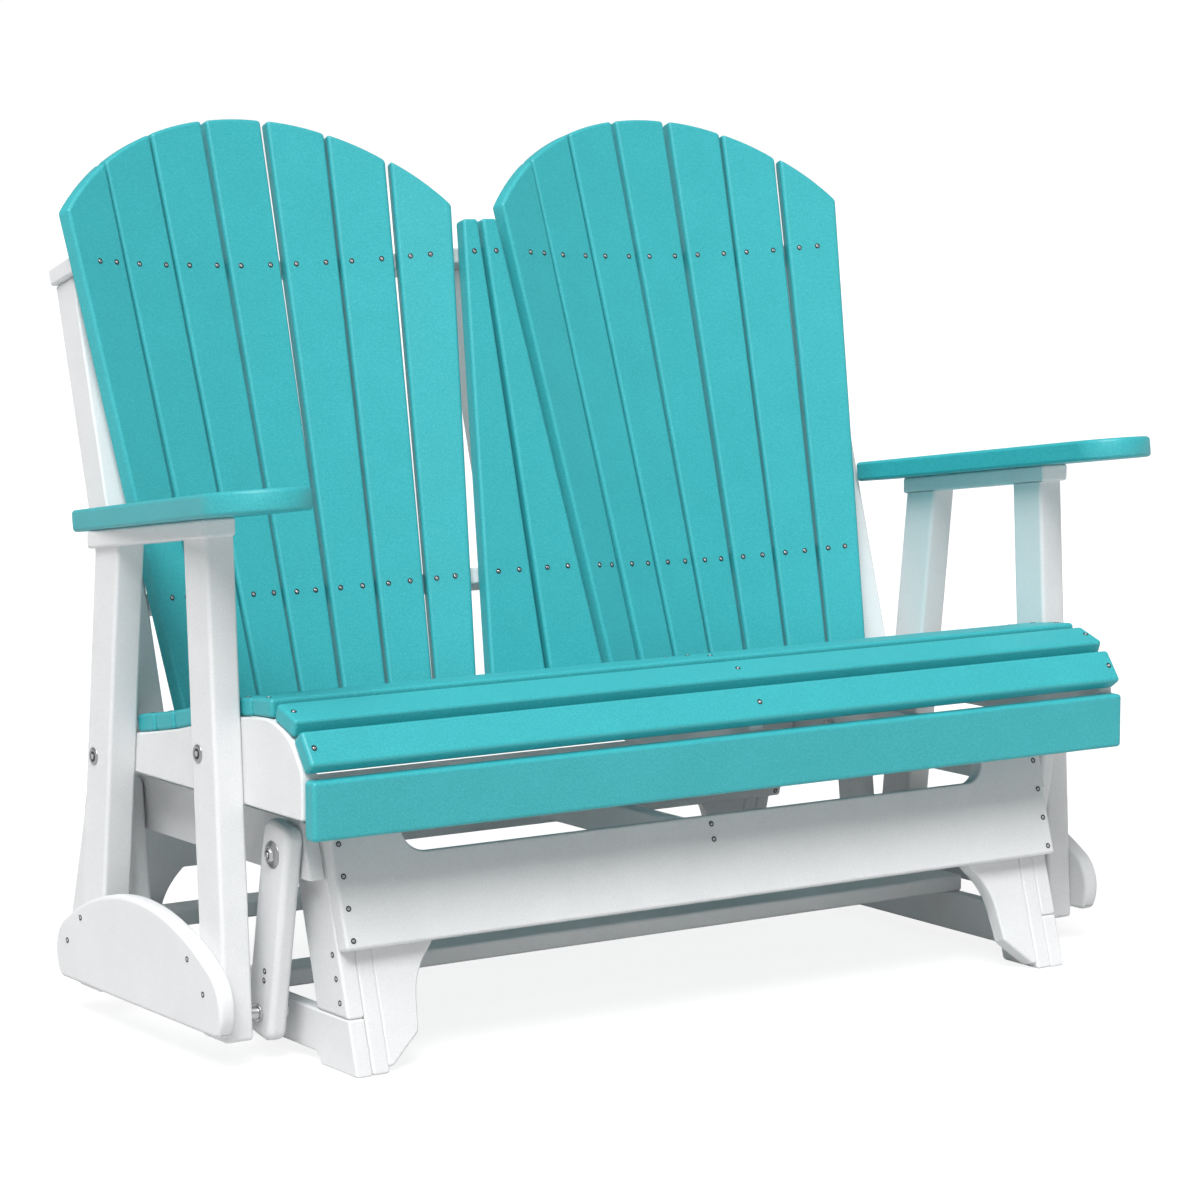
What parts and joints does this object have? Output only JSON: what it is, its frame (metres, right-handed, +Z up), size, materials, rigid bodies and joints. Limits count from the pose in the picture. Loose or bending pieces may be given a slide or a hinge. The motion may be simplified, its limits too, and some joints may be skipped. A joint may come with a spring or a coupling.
{
  "type": "adirondack glider chair",
  "caption": "Two-seat fan-back adirondack glider: slatted seat hung on four swing links from a low floor base with splayed legs.",
  "frame": {"origin": "on the floor, under the middle of the whole piece", "axes": "+Z up, -Y to the front (the way a sitter faces), +X to the right as seen from the front"},
  "size_m": [1.404, 0.7864, 1.1077],
  "materials": {
    "turquoise_lumber": "fine-grained matte poly lumber, edges rounded over",
    "white_lumber": "fine-grained matte poly lumber, edges rounded over",
    "stainless_steel": "plain stainless steel"
  },
  "bodies": {
    "base": {"base_screws": "stainless_steel", "centre_spine": "white_lumber", "front_base_board": "white_lumber", "front_gussets": "white_lumber", "front_leg_left": "white_lumber", "front_leg_right": "white_lumber", "front_stretcher": "white_lumber", "hanger_bolts": "stainless_steel", "hanger_rail_left": "white_lumber", "hanger_rail_right": "white_lumber", "rear_base_board": "white_lumber", "rear_gussets": "white_lumber", "rear_leg_left": "white_lumber", "rear_leg_right": "white_lumber", "rear_stretcher": "white_lumber", "runner_left": "white_lumber", "runner_right": "white_lumber"},
    "front_link_left_body": {"front_link_left": "white_lumber", "front_link_screws_left": "stainless_steel"},
    "front_link_right_body": {"front_link_right": "white_lumber", "front_link_screws_right": "stainless_steel"},
    "rear_link_left_body": {"rear_link_left": "white_lumber"},
    "rear_link_right_body": {"rear_link_right": "white_lumber"},
    "seat": {"arm_left": "turquoise_lumber", "arm_rails": "white_lumber", "arm_right": "turquoise_lumber", "back_post_centre": "white_lumber", "back_post_left": "white_lumber", "back_post_right": "white_lumber", "filler_slats": "turquoise_lumber", "foot_panel_left": "white_lumber", "foot_panel_right": "white_lumber", "front_apron": "turquoise_lumber", "front_arm_post_left": "white_lumber", "front_arm_post_right": "white_lumber", "left_back_slat_1": "turquoise_lumber", "left_back_slat_2": "turquoise_lumber", "left_back_slat_3": "turquoise_lumber", "left_back_slat_4": "turquoise_lumber", "left_back_slat_5": "turquoise_lumber", "left_back_slat_6": "turquoise_lumber", "left_back_slat_7": "turquoise_lumber", "lower_back_rails": "white_lumber", "lower_pivot_bolts": "stainless_steel", "rear_arm_post_left": "white_lumber", "rear_arm_post_right": "white_lumber", "right_back_slat_1": "turquoise_lumber", "right_back_slat_2": "turquoise_lumber", "right_back_slat_3": "turquoise_lumber", "right_back_slat_4": "turquoise_lumber", "right_back_slat_5": "turquoise_lumber", "right_back_slat_6": "turquoise_lumber", "right_back_slat_7": "turquoise_lumber", "seat_bolts": "stainless_steel", "seat_centre_support": "white_lumber", "seat_nose_slat": "turquoise_lumber", "seat_screws": "stainless_steel", "seat_sides": "white_lumber", "seat_slats": "turquoise_lumber", "upper_back_rail": "white_lumber"}
  },
  "joints": [
    {"name": "glide", "type": "hinge", "parent": "base", "child": "front_link_left_body", "pos_m": [-0.57575, -0.2572, 0.2525], "axis": [1, 0, 0], "range_deg": [-12, 12]},
    {"name": "front_link_right_swing", "type": "hinge", "parent": "base", "child": "front_link_right_body", "pos_m": [0.57575, -0.2572, 0.2525], "axis": [1, 0, 0], "range_deg": [-12, 12]},
    {"name": "rear_link_left_swing", "type": "hinge", "parent": "base", "child": "rear_link_left_body", "pos_m": [-0.57575, 0.1368, 0.2525], "axis": [1, 0, 0], "range_deg": [-12.05, 12.05]},
    {"name": "rear_link_right_swing", "type": "hinge", "parent": "base", "child": "rear_link_right_body", "pos_m": [0.57575, 0.1368, 0.2525], "axis": [1, 0, 0], "range_deg": [-12.05, 12.05]},
    {"name": "seat_hang", "type": "hinge", "parent": "front_link_left_body", "child": "seat", "pos_m": [-0.57575, -0.2202, 0.057], "axis": [1, 0, 0], "range_deg": [-14.5, 14.5]}
  ],
  "couplings": [
    {"joint": "front_link_right_swing", "follows": "glide", "ratio": 1},
    {"joint": "rear_link_left_swing", "follows": "glide", "ratio": 1},
    {"joint": "rear_link_right_swing", "follows": "glide", "ratio": 1},
    {"joint": "seat_hang", "follows": "glide", "ratio": -1.181}
  ]
}
